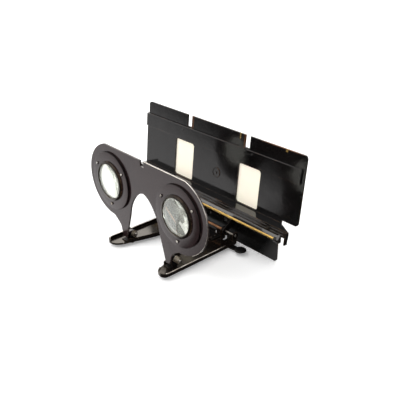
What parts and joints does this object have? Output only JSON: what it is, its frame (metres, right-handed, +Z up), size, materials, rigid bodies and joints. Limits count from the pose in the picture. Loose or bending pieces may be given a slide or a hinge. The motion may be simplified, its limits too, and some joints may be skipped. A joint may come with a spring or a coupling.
{
  "type": "slide viewer",
  "caption": "Folding stereo slide viewer in black sheet steel: a lens board on two hinged arms faces a tilting slide plate with lit windows.",
  "frame": {"origin": "bottom centre of the bounding box", "axes": "+X along the width and the eye spacing, -Y towards the viewer's face, +Z up from the table"},
  "size_m": [0.1392, 0.0694, 0.0706],
  "materials": {
    "black_enamel": "glossy black japanned enamel",
    "board_enamel": "glossy black enamel with a warm sheen",
    "steel": "bare and slightly worn",
    "brass": "drawn rod, lightly tarnished",
    "copper": "coppered spring wire",
    "glass": "polished",
    "diffuser": "translucent ivory sheet"
  },
  "bodies": {
    "stand": {"leaf": "black_enamel", "lug_left": "black_enamel", "lug_right": "black_enamel", "leaf_rivets": "black_enamel", "brass_rod": "brass", "rod_heads": "black_enamel", "pivot_rod": "steel", "pivot_heads": "steel", "coil_spring": "copper"},
    "holder": {"slide_plate": "black_enamel", "top_guide": "black_enamel", "guide_rivets": "black_enamel", "flange_rivets": "black_enamel", "plate_stud": "black_enamel", "diffuser_left": "diffuser", "diffuser_right": "diffuser", "frame_left": "black_enamel", "frame_right": "black_enamel"},
    "arms": {"arm_left": "black_enamel", "arm_right": "black_enamel", "cross_plate": "black_enamel", "cross_rivets": "black_enamel", "bracket_left": "black_enamel", "bracket_right": "black_enamel", "foot_rivets": "steel", "hinge_pin_left": "steel", "hinge_pin_right": "steel", "hinge_spring_left": "steel", "hinge_spring_right": "steel", "lever_rivet": "steel"},
    "board": {"lens_board": "board_enamel", "mount_left": "board_enamel", "mount_right": "board_enamel", "collar_left": "black_enamel", "collar_right": "black_enamel", "lens_left": "glass", "lens_right": "glass", "ring_left": "steel", "ring_right": "steel", "claws_left": "board_enamel", "claws_right": "board_enamel"},
    "lever": {"thumb_lever": "black_enamel", "lever_pad": "black_enamel"}
  },
  "joints": [
    {"name": "holder_tilt", "type": "hinge", "parent": "stand", "child": "holder", "pos_m": [0, 0.02094, 0.0205], "axis": [1, 0, 0], "range_deg": [-8, 40]},
    {"name": "arm_swing", "type": "hinge", "parent": "stand", "child": "arms", "pos_m": [0, 0.02214, 0.0085], "axis": [1, 0, 0], "range_deg": [0, 72], "stiffness_Nm_per_rad": 0.03, "springref_deg": -103.13},
    {"name": "board_hinge", "type": "hinge", "parent": "arms", "child": "board", "pos_m": [0, -0.02136, 0.0076], "axis": [1, 0, 0], "range_deg": [-72, 0]},
    {"name": "lever_press", "type": "hinge", "parent": "arms", "child": "lever", "pos_m": [0.0226, 0.01894, 0.0017], "axis": [0, 0, 1], "range_deg": [-12, 0], "stiffness_Nm_per_rad": 0.02, "springref_deg": 5.73}
  ],
  "couplings": [
    {"joint": "board_hinge", "follows": "arm_swing", "ratio": -1}
  ]
}
